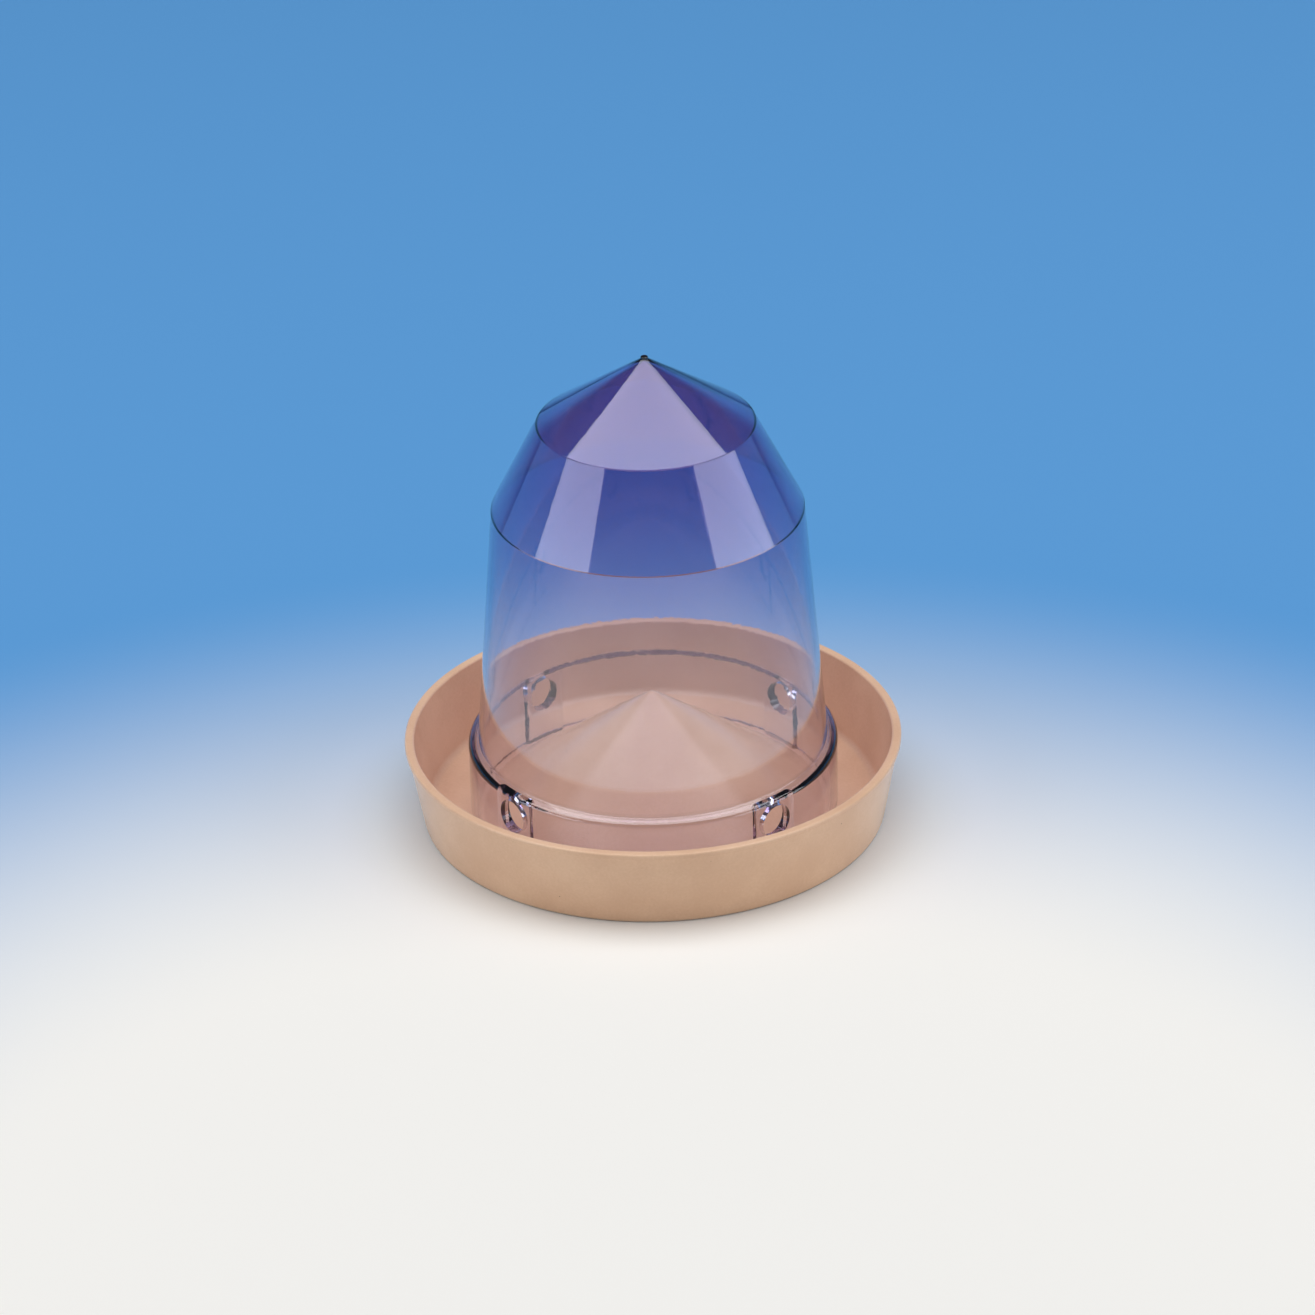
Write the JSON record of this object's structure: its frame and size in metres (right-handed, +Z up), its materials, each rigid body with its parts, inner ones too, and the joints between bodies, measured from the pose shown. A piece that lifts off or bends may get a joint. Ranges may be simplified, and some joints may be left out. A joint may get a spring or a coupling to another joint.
{
  "type": "poultry drinker",
  "caption": "Gravity-fed poultry drinker: a clear pointed plastic hood with side ports stands in a round, shallow tan dish whose trough it keeps full of water.",
  "frame": {"origin": "centre of the dish's foot, on the surface that it stands on", "axes": "+Z up along the axis that both pieces share; one port of the hood faces each of +X, +Y, -X and -Y"},
  "size_m": [0.2, 0.2, 0.1997],
  "materials": {
    "dish_plastic": "moulded, faintly mottled tan, soft sheen",
    "hood_plastic": "clear, polished, light violet-blue tint"
  },
  "bodies": {
    "root": {"dish": "dish_plastic", "hood": "hood_plastic"}
  },
  "joints": []
}
